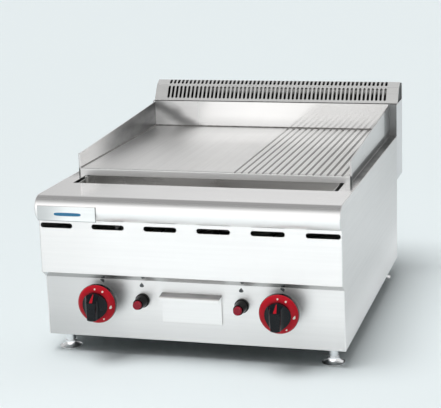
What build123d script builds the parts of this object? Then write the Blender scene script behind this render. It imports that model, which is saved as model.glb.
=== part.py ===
from build123d import *
import math
import os

# A counter-top gas griddle. Millimetres, +Z up, +X to the right seen from the front, front towards -Y.
# The origin is on the counter, under the middle of the overall box.

# ---------------------------------------------------------------- driving dimensions
WIDTH = 600.0  # across the side panels
BODY_DEPTH = 676.0  # fascia face to rear panel
DUCT_DEPTH = 84.0  # flue duct behind the rear panel
KNOB_REACH = 52.0  # knob grip ahead of the fascia
SHEET = 1.5  # casing sheet steel
THIN_SHEET = 1.2  # drawer sheet steel

BASE_Z = 36.5  # underside of the casing
PANEL_TOP_Z = 156.0
FASCIA_BOTTOM_Z = 170.0
FASCIA_TOP_Z = 277.8
DECK_Z = 325.0
HOOD_Z = 399.0  # where the flue hood starts
TOP_Z = 443.0

# ---------------------------------------------------------------- worked out from them
HALF_W = WIDTH / 2
INNER_X = HALF_W - SHEET
FASCIA_Y = -(BODY_DEPTH + DUCT_DEPTH - KNOB_REACH) / 2
BODY_BACK_Y = FASCIA_Y + BODY_DEPTH
BACK_Y = BODY_BACK_Y + DUCT_DEPTH
SIDES = (("left", -1), ("right", 1))
TOUCH = 0.01  # lets a cutter run past the face it opens
FROM_END = (Align.CENTER, Align.CENTER, Align.MIN)


def behind(distance):
    """The Y of a place that many millimetres behind the fascia face."""
    return FASCIA_Y + distance


def facing_back(distance):
    """A plane of X and Z that many millimetres behind the fascia; an extrusion from it runs backwards."""
    return Plane(origin=(0, behind(distance), 0), x_dir=(-1, 0, 0), z_dir=(0, 1, 0))


def axis_back(x, z):
    """An axis that runs backwards through x and z."""
    return Axis((x, 0, z), (0, 1, 0))


def save(builder, node):
    """Names a finished sub-part and writes it."""
    builder.part.label = node
    export_step(builder.part, f"parts/{node}.step")


def block(x, y, z, mode=Mode.ADD):
    """A box between two X, two Y (behind the fascia) and two Z values, added to the part being built."""
    size = (x[1] - x[0], y[1] - y[0], z[1] - z[0])
    with Locations((x[0], behind(y[0]), z[0])):
        Box(*size, align=(Align.MIN, Align.MIN, Align.MIN), mode=mode)


def rod_back(x, z, radius, y, mode=Mode.ADD):
    """A cylinder along Y between two distances behind the fascia."""
    with Locations((x, behind(y[0]), z)):
        Cylinder(radius, y[1] - y[0], rotation=(-90, 0, 0), align=FROM_END, mode=mode)


def rod_up(x, y, radius, z, mode=Mode.ADD):
    """A cylinder along Z between two heights, at a distance behind the fascia."""
    with Locations((x, behind(y), z[0])):
        Cylinder(radius, z[1] - z[0], align=FROM_END, mode=mode)


def tube_along(points, bend, radius, bore=0.0):
    """A tube or rod swept along straight runs with round bends, added to the part being built."""
    with BuildLine(mode=Mode.PRIVATE) as route:
        FilletPolyline(*[(x, behind(y), z) for x, y, z in points], radius=bend)
    with BuildSketch(Plane(origin=route.line @ 0, z_dir=route.line % 0), mode=Mode.PRIVATE) as section:
        Circle(radius)
        if bore:
            Circle(bore, mode=Mode.SUBTRACT)
    sweep(section.sketch, path=route.line)


os.makedirs("parts", exist_ok=True)

# ---------------------------------------------------------------- casing
PANEL_SETBACK = 20.0  # control panel behind the fascia
NOSE_R = 25.0
NOSE_Y = 7.0  # centre of the rolled nose, behind the fascia
NOSE_Z = DECK_Z - NOSE_R
NOSE_END_Z = 278.0  # where the roll turns back above the fascia
NOSE_RETURN_Y = 10.0
SEAM_LENGTH = 50.0
SEAM_DEPTH = 0.4


def on_nose(radius, height):
    """The Y of the front of a roll of that radius about the nose's centre, at a height."""
    return behind(NOSE_Y) - math.sqrt(radius**2 - (height - NOSE_Z) ** 2)


def side_outline():
    """The casing's side view: rolled nose, fascia, stepped-back control panel, square back."""
    nose_end = (on_nose(NOSE_R, NOSE_END_Z), NOSE_END_Z)
    Polyline(
        (behind(NOSE_Y), DECK_Z),
        (BODY_BACK_Y, DECK_Z),
        (BODY_BACK_Y, BASE_Z),
        (behind(PANEL_SETBACK), BASE_Z),
        (behind(PANEL_SETBACK), PANEL_TOP_Z),
        (FASCIA_Y, FASCIA_BOTTOM_Z),
        (FASCIA_Y, NOSE_END_Z),
        nose_end,
    )
    ThreePointArc(nose_end, (behind(NOSE_Y) - NOSE_R, NOSE_Z), (behind(NOSE_Y), DECK_Z))


for side, sign in SIDES:
    with BuildPart() as side_panel:
        with BuildSketch(Plane.YZ.offset(sign * HALF_W)):
            with BuildLine():
                side_outline()
            make_face()
        extrude(amount=-sign * SHEET)
        # The seam under the end of the rolled nose.
        with Locations((sign * HALF_W, FASCIA_Y + SEAM_LENGTH / 2, NOSE_END_Z)):
            Box(2 * SEAM_DEPTH, SEAM_LENGTH, SEAM_DEPTH, mode=Mode.SUBTRACT)
    save(side_panel, f"side_panel_{side}")

OPENING_X = 271.0
OPENING_FRONT = 111.0
OPENING_BACK = 655.0
OPENING_HEM = 12.0

with BuildPart() as top_deck:
    nose_inner = NOSE_R - SHEET
    inner_end_z = NOSE_END_Z + SHEET
    with BuildSketch(Plane.YZ.offset(-INNER_X)):
        with BuildLine():
            outer_end = (on_nose(NOSE_R, NOSE_END_Z), NOSE_END_Z)
            inner_end = (on_nose(nose_inner, inner_end_z), inner_end_z)
            inner_front = (behind(NOSE_Y) - nose_inner, NOSE_Z)
            Polyline(
                outer_end,
                (behind(NOSE_RETURN_Y), NOSE_END_Z),
                (behind(NOSE_RETURN_Y), inner_end_z),
                inner_end,
            )
            ThreePointArc(inner_end, inner_front, (behind(NOSE_Y), DECK_Z - SHEET))
            Polyline(
                (behind(NOSE_Y), DECK_Z - SHEET),
                (BODY_BACK_Y, DECK_Z - SHEET),
                (BODY_BACK_Y, DECK_Z),
                (behind(NOSE_Y), DECK_Z),
            )
            ThreePointArc((behind(NOSE_Y), DECK_Z), (behind(NOSE_Y) - NOSE_R, NOSE_Z), outer_end)
        make_face()
    extrude(amount=2 * INNER_X)
    block((-OPENING_X, OPENING_X), (OPENING_FRONT, OPENING_BACK), (DECK_Z - 2 * SHEET, DECK_Z + SHEET), Mode.SUBTRACT)
    block((-OPENING_X, OPENING_X), (OPENING_FRONT - SHEET, OPENING_FRONT), (DECK_Z - OPENING_HEM, DECK_Z - SHEET))
save(top_deck, "top_deck")

VENT_COUNT = 6
VENT_PITCH = 105.6
VENT_LENGTH = 66.0
VENT_HEIGHT = 10.0
VENT_Z = 265.0

with BuildPart() as front_fascia:
    return_angle = math.atan2(FASCIA_BOTTOM_Z - PANEL_TOP_Z, PANEL_SETBACK)
    inner_corner_z = FASCIA_BOTTOM_Z + SHEET * math.tan((math.pi / 2 - return_angle) / 2)
    inner_end = (
        behind(PANEL_SETBACK + SHEET * math.sin(return_angle)),
        PANEL_TOP_Z + SHEET * math.cos(return_angle),
    )
    with BuildSketch(Plane.YZ.offset(-INNER_X)):
        with BuildLine():
            Polyline(
                (FASCIA_Y, FASCIA_TOP_Z),
                (FASCIA_Y, FASCIA_BOTTOM_Z),
                (behind(PANEL_SETBACK), PANEL_TOP_Z),
                inner_end,
                (behind(SHEET), inner_corner_z),
                (behind(SHEET), FASCIA_TOP_Z),
                close=True,
            )
        make_face()
    extrude(amount=2 * INNER_X)
    with BuildSketch(facing_back(-TOUCH)):
        with Locations((0, VENT_Z)):
            with GridLocations(VENT_PITCH, 0, VENT_COUNT, 1):
                SlotOverall(VENT_LENGTH, VENT_HEIGHT)
    extrude(amount=SHEET + 2 * TOUCH, mode=Mode.SUBTRACT)
save(front_fascia, "front_fascia")

KNOB_X = 181.0
BUTTON_X = 100.0
CONTROL_Z = 116.4
STEM_HOLE_R = 6.0
BEZEL_HOLE_R = 11.0
DRAWER_HOLE_X = 57.0
DRAWER_HOLE_Z = (77.5, 130.0)
PANEL_FLANGE = 14.0

with BuildPart() as control_panel:
    panel_y = (PANEL_SETBACK, PANEL_SETBACK + SHEET)
    block((-INNER_X, INNER_X), panel_y, (BASE_Z, PANEL_TOP_Z))
    block((-INNER_X, INNER_X), (panel_y[1], panel_y[1] + PANEL_FLANGE), (PANEL_TOP_Z - SHEET, PANEL_TOP_Z))
    block((-DRAWER_HOLE_X, DRAWER_HOLE_X), (panel_y[0] - TOUCH, panel_y[1] + TOUCH), DRAWER_HOLE_Z, Mode.SUBTRACT)
    for _, sign in SIDES:
        for x, radius in ((KNOB_X, STEM_HOLE_R), (BUTTON_X, BEZEL_HOLE_R)):
            rod_back(sign * x, CONTROL_Z, radius, (panel_y[0] - TOUCH, panel_y[1] + TOUCH), Mode.SUBTRACT)
save(control_panel, "control_panel")

FOOT_X = 269.0
FOOT_YS = (54.0, 625.0)
FOOT_HOLE_R = 5.5
PAN_FRONT = PANEL_SETBACK + SHEET
PAN_BACK = BODY_DEPTH - SHEET
PAN_FLANGE = 12.0
INTAKE_LENGTH = 60.0
INTAKE_WIDTH = 10.0
INTAKE_GRID = (90.0, 30.0, 5, 8)
INTAKE_Y = 470.0

with BuildPart() as base_pan:
    pan_z = (BASE_Z, BASE_Z + SHEET)
    block((-INNER_X, INNER_X), (PAN_FRONT, PAN_BACK), pan_z)
    for edge in ((PAN_FRONT, PAN_FRONT + SHEET), (PAN_BACK - SHEET, PAN_BACK)):
        block((-INNER_X, INNER_X), edge, (pan_z[1], pan_z[1] + PAN_FLANGE))
    for _, sign in SIDES:
        for y in FOOT_YS:
            rod_up(sign * FOOT_X, y, FOOT_HOLE_R, (BASE_Z - TOUCH, pan_z[1] + TOUCH), Mode.SUBTRACT)
    with BuildSketch(Plane.XY.offset(BASE_Z - TOUCH)):
        with Locations((0, behind(INTAKE_Y))):
            with GridLocations(*INTAKE_GRID):
                SlotOverall(INTAKE_LENGTH, INTAKE_WIDTH)
    extrude(amount=SHEET + 2 * TOUCH, mode=Mode.SUBTRACT)
save(base_pan, "base_pan")

INLET_X = 250.0
INLET_Z = 150.0
INLET_HOLE_R = 12.0
THROAT_X = 240.0
THROAT_Z = (240.0, 300.0)
SCREW_R = 2.0
SCREW_HEAD_R = 4.2
SCREW_HEAD = 2.4
SCREW_LENGTH = 10.0
SCREW_POINTS = [(sign * x, z) for sign in (-1, 1) for x in (95.0, 284.0) for z in (58.0, 205.0)]
LOUVRE_GRID = (64.0, 16.0, 5, 3)
LOUVRE_SIZE = (44.0, 6.0)
LOUVRE_Z = 105.0

with BuildPart() as rear_panel:
    rear_y = (BODY_DEPTH - SHEET, BODY_DEPTH)
    through = (rear_y[0] - TOUCH, rear_y[1] + TOUCH)
    block((-INNER_X, INNER_X), rear_y, (BASE_Z, DECK_Z - SHEET))
    block((-THROAT_X, THROAT_X), through, THROAT_Z, Mode.SUBTRACT)
    rod_back(INLET_X, INLET_Z, INLET_HOLE_R, through, Mode.SUBTRACT)
    for x, z in SCREW_POINTS:
        rod_back(x, z, SCREW_R, through, Mode.SUBTRACT)
    with BuildSketch(facing_back(through[0])):
        with Locations((0, LOUVRE_Z)):
            with GridLocations(*LOUVRE_GRID):
                SlotOverall(*LOUVRE_SIZE)
    extrude(amount=through[1] - through[0], mode=Mode.SUBTRACT)
save(rear_panel, "rear_panel")

with BuildPart() as casing_screws:
    for x, z in SCREW_POINTS:
        rod_back(x, z, SCREW_R, (BODY_DEPTH - SCREW_LENGTH, BODY_DEPTH))
        rod_back(x, z, SCREW_HEAD_R, (BODY_DEPTH, BODY_DEPTH + SCREW_HEAD))
    head_rims = casing_screws.edges().filter_by(GeomType.CIRCLE).group_by(Axis.Y)[-1]
    fillet(head_rims, radius=SCREW_HEAD / 2)
save(casing_screws, "casing_screws")

PLATE_NAME_X = (-294.0, -174.0)
PLATE_NAME_Z = (279.0, 308.5)
PLATE_NAME_THICK = 1.5
PLATE_NAME_CORNER = 1.0

with BuildPart() as nameplate:
    nose_front = NOSE_Y - NOSE_R
    block(PLATE_NAME_X, (nose_front - PLATE_NAME_THICK, nose_front), PLATE_NAME_Z)
    fillet(nameplate.edges().filter_by(Axis.Y), radius=PLATE_NAME_CORNER)
    chamfer(nameplate.faces().sort_by(Axis.Y)[0].edges(), length=PLATE_NAME_THICK / 3)
save(nameplate, "nameplate")

# ---------------------------------------------------------------- griddle plate and splash guards
PLATE_X = 281.0
PLATE_Y = (181.0, 671.4)
PLATE_THICK = 15.0
PLATE_TOP_Z = DECK_Z + PLATE_THICK
PLATE_EDGE = 2.5
GROOVE_COUNT = 16
GROOVE_PITCH = 14.6
GROOVE_MARGIN = 15.0
GROOVE_R = 3.2
GROOVE_DEPTH = 2.2

with BuildPart() as griddle_plate:
    block((-PLATE_X, PLATE_X), PLATE_Y, (DECK_Z, PLATE_TOP_Z))
    front_top = griddle_plate.edges().filter_by(Axis.X).group_by(Axis.Z)[-1].sort_by(Axis.Y)[0]
    chamfer(front_top, length=PLATE_EDGE)
    with BuildSketch(facing_back(PLATE_Y[0] - 1)):
        for i in range(GROOVE_COUNT):
            groove_x = PLATE_X - GROOVE_MARGIN - i * GROOVE_PITCH
            with Locations((-groove_x, PLATE_TOP_Z - GROOVE_DEPTH + GROOVE_R)):
                Circle(GROOVE_R)
    extrude(amount=PLATE_Y[1] - PLATE_Y[0] + 2, mode=Mode.SUBTRACT)
save(griddle_plate, "griddle_plate")

GUARD_SHEET = 2.0
GUARD_BACK = PLATE_Y[1] + 1.6
GUARD_Z = (370.0, 397.0)  # height of the top edge at the front and at the back
HEM_LENGTH = 8.0
HEM_THICK = 4.0

for side, sign in SIDES:
    with BuildPart() as splash_guard:
        with BuildSketch(Plane.YZ.offset(sign * PLATE_X)):
            with BuildLine():
                Polyline(
                    (behind(PLATE_Y[0]), DECK_Z),
                    (behind(PLATE_Y[0]), GUARD_Z[0]),
                    (behind(GUARD_BACK), GUARD_Z[1]),
                    (behind(GUARD_BACK), DECK_Z),
                    close=True,
                )
            make_face()
        extrude(amount=sign * GUARD_SHEET)
        # The folded hem down the front edge.
        hem_x = sorted((sign * (PLATE_X + GUARD_SHEET), sign * (PLATE_X + HEM_THICK)))
        block(hem_x, (PLATE_Y[0], PLATE_Y[0] + HEM_LENGTH), (DECK_Z, GUARD_Z[0]))
        upright = splash_guard.edges().filter_by(Axis.Z).group_by(Axis.Y)[0]
        fillet(upright, radius=GUARD_SHEET / 3)
    save(splash_guard, f"splash_guard_{side}")

with BuildPart() as backsplash:
    block((-PLATE_X, PLATE_X), (PLATE_Y[1], GUARD_BACK), (DECK_Z, HOOD_Z + 1))
save(backsplash, "backsplash")

# ---------------------------------------------------------------- grease trough, chute and drawer
TROUGH_X = 262.0
TROUGH_Y = (114.0, 206.0)
TROUGH_TOP_Z = DECK_Z - SHEET
TROUGH_END_Z = 294.0
TROUGH_LOW_Z = 284.0
DRAIN_Y = 160.0
DRAIN_R = 15.5
CHUTE_WALL = 1.5
CHUTE_BOTTOM_Z = 133.0

with BuildPart() as grease_trough:
    for inset, top, mode in ((0.0, 0.0, Mode.ADD), (SHEET, SHEET, Mode.SUBTRACT)):
        with BuildSketch(facing_back(TROUGH_Y[0] + inset)):
            with BuildLine():
                Polyline(
                    (-TROUGH_X + inset, TROUGH_TOP_Z + top),
                    (-TROUGH_X + inset, TROUGH_END_Z + inset),
                    (0, TROUGH_LOW_Z + inset),
                    (TROUGH_X - inset, TROUGH_END_Z + inset),
                    (TROUGH_X - inset, TROUGH_TOP_Z + top),
                    close=True,
                )
            make_face()
        extrude(amount=TROUGH_Y[1] - TROUGH_Y[0] - 2 * inset, mode=mode)
    rod_up(0, DRAIN_Y, DRAIN_R, (TROUGH_LOW_Z - SHEET, TROUGH_END_Z), Mode.SUBTRACT)
save(grease_trough, "grease_trough")

PIN_PLACE = (-257.0, 150.0)
PIN_R = 3.0
PIN_Z = (TROUGH_END_Z + SHEET, 331.0)

with BuildPart() as trough_pin:
    rod_up(*PIN_PLACE, PIN_R, PIN_Z)
    chamfer(trough_pin.edges().group_by(Axis.Z)[-1], length=PIN_R / 4)
save(trough_pin, "trough_pin")

with BuildPart() as grease_chute:
    rod_up(0, DRAIN_Y, DRAIN_R + CHUTE_WALL, (CHUTE_BOTTOM_Z, TROUGH_LOW_Z))
    rod_up(0, DRAIN_Y, DRAIN_R, (CHUTE_BOTTOM_Z - TOUCH, TROUGH_LOW_Z + TOUCH), Mode.SUBTRACT)
save(grease_chute, "grease_chute")

TRAY_X = 55.0
TRAY_Y = (18.5, 330.0)
TRAY_Z = (79.0, 126.0)
DRAWER_FRONT_X = 60.0
DRAWER_FRONT_BOTTOM_Z = 76.0
DRAWER_LIP_BACK_Z = 134.5
DRAWER_LIP_FRONT_Z = 130.5
DRAWER_LIP_EDGE_Z = 123.5
DRAWER_LIP_FRONT = -3.5

with BuildPart() as drawer_tray:
    block((-TRAY_X, TRAY_X), TRAY_Y, TRAY_Z)
    fillet(drawer_tray.edges().filter_by(Axis.Z), radius=4)
    offset(amount=-THIN_SHEET, openings=drawer_tray.faces().sort_by(Axis.Z)[-1])
save(drawer_tray, "drawer_tray")

with BuildPart() as drawer_front:
    with BuildSketch(Plane.YZ.offset(-DRAWER_FRONT_X)):
        with BuildLine():
            Polyline(
                (behind(TRAY_Y[0]), DRAWER_FRONT_BOTTOM_Z),
                (behind(TRAY_Y[0]), DRAWER_LIP_BACK_Z),
                (behind(DRAWER_LIP_FRONT), DRAWER_LIP_FRONT_Z),
                (behind(DRAWER_LIP_FRONT), DRAWER_LIP_EDGE_Z),
            )
            offset(amount=SHEET, side=Side.LEFT, kind=Kind.INTERSECTION)
        make_face()
    extrude(amount=2 * DRAWER_FRONT_X)
save(drawer_front, "drawer_front")

RAIL_X = (57.0, 58.5)
RAIL_Y = (24.0, 335.0)
RAIL_TOP_Z = 100.0
LEDGE_X = 48.0
LEDGE_Z = (77.3, 78.8)
RAIL_FOOT_X = 72.0

with BuildPart() as drawer_rails:
    for _, sign in SIDES:
        rail_bottom = BASE_Z + SHEET
        for x, z in (
            (RAIL_X, (rail_bottom, RAIL_TOP_Z)),
            ((LEDGE_X, RAIL_X[0]), LEDGE_Z),
            ((RAIL_X[1], RAIL_FOOT_X), (rail_bottom, rail_bottom + SHEET)),
        ):
            block(sorted((sign * x[0], sign * x[1])), RAIL_Y, z)
save(drawer_rails, "drawer_rails")

# ---------------------------------------------------------------- flue
FLUE_X = (-288.0, HALF_W)  # the flue stops short of the casing on the left
FLUE_INNER_X = (FLUE_X[0] + SHEET, FLUE_X[1] - SHEET)
FLUE_WIDTH = FLUE_X[1] - FLUE_X[0]
DUCT_BOTTOM_Z = 222.0
DUCT_Y = (BODY_DEPTH, BODY_DEPTH + DUCT_DEPTH)
FLUE_PANEL_BOTTOM_Z = 303.0
LEDGE_BACK = 691.0
HOOD_FRONT = 690.0
HOOD_BEND = (712.0, 433.0)
HOOD_CREST = (729.0, TOP_Z)
HOOD_BACK_Z = 438.0  # the top falls a little towards the back
HOOD_SLOT_COUNT = 54
HOOD_SLOT_PITCH = 9.89
HOOD_SLOT_X = 7.3  # middle of the slotted stretch
HOOD_SLOT_WIDTH = 5.6
LONG_SLOT = (31.5, 1.85)  # length, and how far above the middle of its facet
SHORT_SLOT = (15.2, 1.9)
CAP_INSET = 2.0
CAP_THICK = 1.5

with BuildPart() as flue_duct:
    block(FLUE_X, DUCT_Y, (DUCT_BOTTOM_Z, HOOD_Z))
    block(
        FLUE_INNER_X,
        (DUCT_Y[0] - TOUCH, DUCT_Y[1] - SHEET),
        (DUCT_BOTTOM_Z + SHEET, HOOD_Z + TOUCH),
        Mode.SUBTRACT,
    )
save(flue_duct, "flue_duct")

with BuildPart() as flue_front_panel:
    block(FLUE_INNER_X, (DUCT_Y[0], DUCT_Y[0] + SHEET), (FLUE_PANEL_BOTTOM_Z, HOOD_Z))
    block(FLUE_INNER_X, (DUCT_Y[0] + SHEET, LEDGE_BACK), (HOOD_Z - SHEET, HOOD_Z))
save(flue_front_panel, "flue_front_panel")


def hood_outline():
    """The hood's section points: slotted front, slotted brow, top and back."""
    return (
        (behind(HOOD_FRONT), HOOD_Z),
        (behind(HOOD_BEND[0]), HOOD_BEND[1]),
        (behind(HOOD_CREST[0]), HOOD_CREST[1]),
        (BACK_Y, HOOD_BACK_Z),
        (BACK_Y, HOOD_Z),
    )


def facet_plane(start, end):
    """A plane on the middle of a hood facet, X across the griddle and Z out of the steel."""
    run, rise = end[0] - start[0], end[1] - start[1]
    middle = (0, (start[0] + end[0]) / 2, (start[1] + end[1]) / 2)
    return Plane(origin=middle, x_dir=(1, 0, 0), z_dir=(0, -rise, run))


with BuildPart() as flue_hood:
    with BuildSketch(Plane.YZ.offset(FLUE_X[0])):
        with BuildLine():
            Polyline(*hood_outline())
            offset(amount=SHEET, side=Side.RIGHT, kind=Kind.INTERSECTION)
        make_face()
    extrude(amount=FLUE_WIDTH)
    outline = hood_outline()
    for start, end, (length, rise) in ((*outline[:2], LONG_SLOT), (*outline[1:3], SHORT_SLOT)):
        with BuildSketch(facet_plane(start, end)):
            with Locations((HOOD_SLOT_X, rise)):
                with GridLocations(HOOD_SLOT_PITCH, 0, HOOD_SLOT_COUNT, 1):
                    SlotOverall(length, HOOD_SLOT_WIDTH, rotation=90)
        extrude(amount=2 * SHEET, both=True, mode=Mode.SUBTRACT)
    # The lower edge is cut level, to stand on the duct.
    block(FLUE_X, (HOOD_FRONT, DUCT_Y[1]), (HOOD_Z - 2 * SHEET, HOOD_Z), Mode.SUBTRACT)
save(flue_hood, "flue_hood")

with BuildPart() as flue_end_caps:
    for end_x, sign in zip(FLUE_X, (-1, 1)):
        with BuildSketch(Plane.YZ.offset(end_x - sign * CAP_INSET)):
            with BuildLine():
                Polyline(*hood_outline(), close=True)
            make_face()
            offset(amount=-SHEET, kind=Kind.INTERSECTION)
        extrude(amount=-sign * CAP_THICK)
save(flue_end_caps, "flue_end_caps")

DEFLECTOR_THICK = 1.0
DEFLECTOR_POINTS = ((705.0, 400.0), (722.0, 411.0), (731.0, 434.0))

with BuildPart() as flue_deflector:
    deflector_end = CAP_INSET + CAP_THICK
    with BuildSketch(Plane.YZ.offset(FLUE_X[0] + deflector_end)):
        with BuildLine():
            ThreePointArc(*[(behind(y), z) for y, z in DEFLECTOR_POINTS])
            offset(amount=DEFLECTOR_THICK, side=Side.LEFT)
        make_face()
    extrude(amount=FLUE_WIDTH - 2 * deflector_end)
save(flue_deflector, "flue_deflector")

# ---------------------------------------------------------------- burner chamber and burners
CHAMBER_X = 272.0
CHAMBER_Y = (217.0, PAN_BACK)
CHAMBER_FLOOR_Z = 190.0
LINER_TOP_Z = DECK_Z - SHEET
BURNER_Z = 250.0
BURNER_R = 18.0
BURNER_WALL = 1.5
BURNER_LEG_X = (181.0, 81.0)  # gas inlet leg, far leg
BURNER_FRONT = 236.0
BURNER_BEND = 560.0
VENTURI_MOUTH = 206.0
VENTURI_R = 22.0
VENTURI_HOLE_R = 25.0
LEAD_X = (119.0, 143.0)  # ignition lead, thermocouple
LEAD_HOLE_R = 3.0
LEAD_Z = 205.0
PORT_COUNT = 22
PORT_PITCH = 13.0
PORT_SIZE = (16.0, 2.0, 8.0)
FLOOR_HOLES = (90.0, 60.0, 6, 6)
FLOOR_HOLE_R = 8.0

with BuildPart() as chamber_liners:
    for _, sign in SIDES:
        block(sorted((sign * CHAMBER_X, sign * (CHAMBER_X + SHEET))), CHAMBER_Y, (CHAMBER_FLOOR_Z, LINER_TOP_Z))
    floor_x = CHAMBER_X + SHEET
    block((-floor_x, floor_x), CHAMBER_Y, (CHAMBER_FLOOR_Z - 2 * SHEET, CHAMBER_FLOOR_Z - SHEET))
    with BuildSketch(Plane.XY.offset(CHAMBER_FLOOR_Z - 3 * SHEET)):
        with Locations((0, behind(sum(CHAMBER_Y) / 2))):
            with GridLocations(*FLOOR_HOLES):
                Circle(FLOOR_HOLE_R)
    extrude(amount=2 * SHEET, mode=Mode.SUBTRACT)
save(chamber_liners, "chamber_liners")

with BuildPart() as heat_shield:
    shield_y = (CHAMBER_Y[0] - SHEET, CHAMBER_Y[0])
    shield_cut = (shield_y[0] - TOUCH, shield_y[1] + TOUCH)
    block((-INNER_X, INNER_X), shield_y, (CHAMBER_FLOOR_Z - 2 * SHEET, LINER_TOP_Z))
    for _, sign in SIDES:
        rod_back(sign * BURNER_LEG_X[0], BURNER_Z, VENTURI_HOLE_R, shield_cut, Mode.SUBTRACT)
        for x in LEAD_X:
            rod_back(sign * x, LEAD_Z, LEAD_HOLE_R, shield_cut, Mode.SUBTRACT)
save(heat_shield, "heat_shield")

for side, sign in SIDES:
    inlet_x, far_x = (sign * x for x in BURNER_LEG_X)
    with BuildPart() as burner:
        with BuildLine() as burner_route:
            Line((inlet_x, behind(BURNER_FRONT), BURNER_Z), (inlet_x, behind(BURNER_BEND), BURNER_Z))
            bend_top = behind(BURNER_BEND) + abs(inlet_x - far_x) / 2
            ThreePointArc(
                (inlet_x, behind(BURNER_BEND), BURNER_Z),
                ((inlet_x + far_x) / 2, bend_top, BURNER_Z),
                (far_x, behind(BURNER_BEND), BURNER_Z),
            )
            Line((far_x, behind(BURNER_BEND), BURNER_Z), (far_x, behind(BURNER_FRONT), BURNER_Z))
        with BuildSketch(Plane(origin=burner_route.line @ 0, z_dir=burner_route.line % 0)):
            Circle(BURNER_R)
            Circle(BURNER_R - BURNER_WALL, mode=Mode.SUBTRACT)
        sweep(path=burner_route.line)
        # The closed end of the far leg.
        rod_back(far_x, BURNER_Z, BURNER_R, (BURNER_FRONT - 2 * BURNER_WALL, BURNER_FRONT))
        # The flared air and gas mouth of the inlet leg.
        with BuildSketch(Plane.XY.offset(BURNER_Z)):
            with BuildLine():
                Polyline(
                    (inlet_x + VENTURI_R, behind(VENTURI_MOUTH)),
                    (inlet_x + BURNER_R, behind(BURNER_FRONT)),
                    (inlet_x + BURNER_R - BURNER_WALL, behind(BURNER_FRONT)),
                    (inlet_x + VENTURI_R - BURNER_WALL, behind(VENTURI_MOUTH)),
                    close=True,
                )
            make_face()
        revolve(axis=axis_back(inlet_x, BURNER_Z))
        for leg_x in (inlet_x, far_x):
            with Locations((leg_x, behind((BURNER_FRONT + BURNER_BEND) / 2), BURNER_Z + BURNER_R)):
                with GridLocations(0, PORT_PITCH, 1, PORT_COUNT):
                    Box(*PORT_SIZE, mode=Mode.SUBTRACT)
    save(burner, f"burner_{side}")

REST_YS = (300.0, 540.0)
REST_THICK = 2.0
REST_Z = (CHAMBER_FLOOR_Z, BURNER_Z - BURNER_R)

with BuildPart() as burner_rests:
    for y in REST_YS:
        block((-CHAMBER_X, CHAMBER_X), (y, y + REST_THICK), REST_Z)
save(burner_rests, "burner_rests")

PILOT_X = sum(LEAD_X) / 2
PILOT_Y = 258.0
PILOT_PLATE_X = 20.0
PILOT_PLATE_Z = (232.0, 234.0)
PILOT_TOP_Z = 262.0
PILOT_R = 6.0
PILOT_BORE = 4.0
PROBE_R = 2.2
PROBE_Z = (226.0, 270.0)
CAPILLARY_R = 1.2
CERAMIC_R = 3.2
CERAMIC_Z = (222.0, 256.0)
SPARK_R = 0.9
LEAD_R = 1.5
LEAD_BEND = 6.0
COCK_R = 17.0
COCK_Y = (24.0, 62.0)
PIEZO_Y = (33.0, 80.0)
LEAD_DROP_Y = 100.0
CAPILLARY_END_Z = 122.0
CAPILLARY_END_Y = 50.0

with BuildPart() as pilot_burners:
    for _, sign in SIDES:
        plate_x = (sign * PILOT_X - PILOT_PLATE_X, sign * PILOT_X + PILOT_PLATE_X)
        block(plate_x, (CHAMBER_Y[0], PILOT_Y + 2 * PILOT_R), PILOT_PLATE_Z)
        rod_up(sign * PILOT_X, PILOT_Y, PILOT_R, (PILOT_PLATE_Z[1], PILOT_TOP_Z))
        rod_up(sign * PILOT_X, PILOT_Y, PILOT_BORE, (PILOT_PLATE_Z[0], PILOT_TOP_Z + TOUCH), Mode.SUBTRACT)
        for x, radius in zip(LEAD_X, (CERAMIC_R, PROBE_R)):
            rod_up(sign * x, PILOT_Y, radius, PILOT_PLATE_Z, Mode.SUBTRACT)
save(pilot_burners, "pilot_burners")

with BuildPart() as thermocouples:
    for _, sign in SIDES:
        x = sign * LEAD_X[1]
        rod_up(x, PILOT_Y, PROBE_R, PROBE_Z)
        capillary = (
            (x, PILOT_Y, PROBE_Z[0]),
            (x, PILOT_Y, LEAD_Z),
            (x, LEAD_DROP_Y, LEAD_Z),
            (x, LEAD_DROP_Y, CAPILLARY_END_Z),
            (x, CAPILLARY_END_Y, CAPILLARY_END_Z),
            (sign * (KNOB_X - COCK_R), CAPILLARY_END_Y, CAPILLARY_END_Z),
        )
        tube_along(capillary, LEAD_BEND, CAPILLARY_R)
save(thermocouples, "thermocouples")

with BuildPart() as spark_electrodes:
    for _, sign in SIDES:
        rod_up(sign * LEAD_X[0], PILOT_Y, CERAMIC_R, CERAMIC_Z)
        rod_up(sign * LEAD_X[0], PILOT_Y, SPARK_R, (CERAMIC_Z[1], PROBE_Z[1]))
save(spark_electrodes, "spark_electrodes")

with BuildPart() as ignition_leads:
    for _, sign in SIDES:
        x = sign * LEAD_X[0]
        lead = (
            (x, PILOT_Y, CERAMIC_Z[0]),
            (x, PILOT_Y, LEAD_Z),
            (x, LEAD_DROP_Y, LEAD_Z),
            (x, LEAD_DROP_Y, CONTROL_Z),
            (sign * BUTTON_X, LEAD_DROP_Y, CONTROL_Z),
            (sign * BUTTON_X, PIEZO_Y[1], CONTROL_Z),
        )
        tube_along(lead, LEAD_BEND, LEAD_R)
save(ignition_leads, "ignition_leads")

# ---------------------------------------------------------------- gas train
PIPE_R = 10.65
PIPE_BORE = 8.0
PIPE_BEND = 28.0
MANIFOLD_Y = 64.0
MANIFOLD_END_X = -215.0
PIPE_BACK = 650.0
COUPLING_Y = (628.0, 656.0)
COUPLING_R = 14.0
INLET_SHANK_R = 11.5
INLET_R = 10.48  # half-inch parallel pipe thread, outside
INLET_BORE = 7.5
INLET_Y = (680.0, 706.0)  # threaded length

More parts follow.
